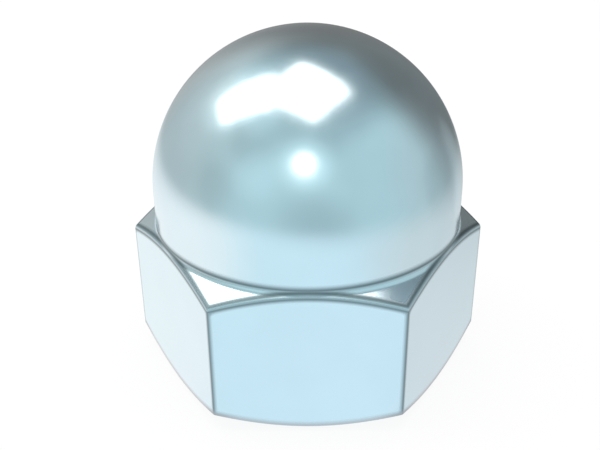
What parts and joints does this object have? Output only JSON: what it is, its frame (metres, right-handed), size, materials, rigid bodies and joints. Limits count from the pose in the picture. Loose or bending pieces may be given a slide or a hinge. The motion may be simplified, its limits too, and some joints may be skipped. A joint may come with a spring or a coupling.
{
  "type": "cap nut",
  "caption": "Hexagon nut closed by a high round crown, with a blind threaded hole that covers and protects the end of a bolt or stud.",
  "frame": {"origin": "centre of the bearing face, the flat ring around the mouth of the hole", "axes": "+Z along the thread axis towards the top of the crown, +X towards a corner of the hexagon, -Y out of a flat"},
  "size_m": [0.015, 0.013, 0.0146],
  "materials": {
    "zinc_plated_steel": "bright zinc plating with a faint blue tint, smooth and glossy"
  },
  "bodies": {
    "root": {"cap_nut": "zinc_plated_steel"}
  },
  "joints": []
}
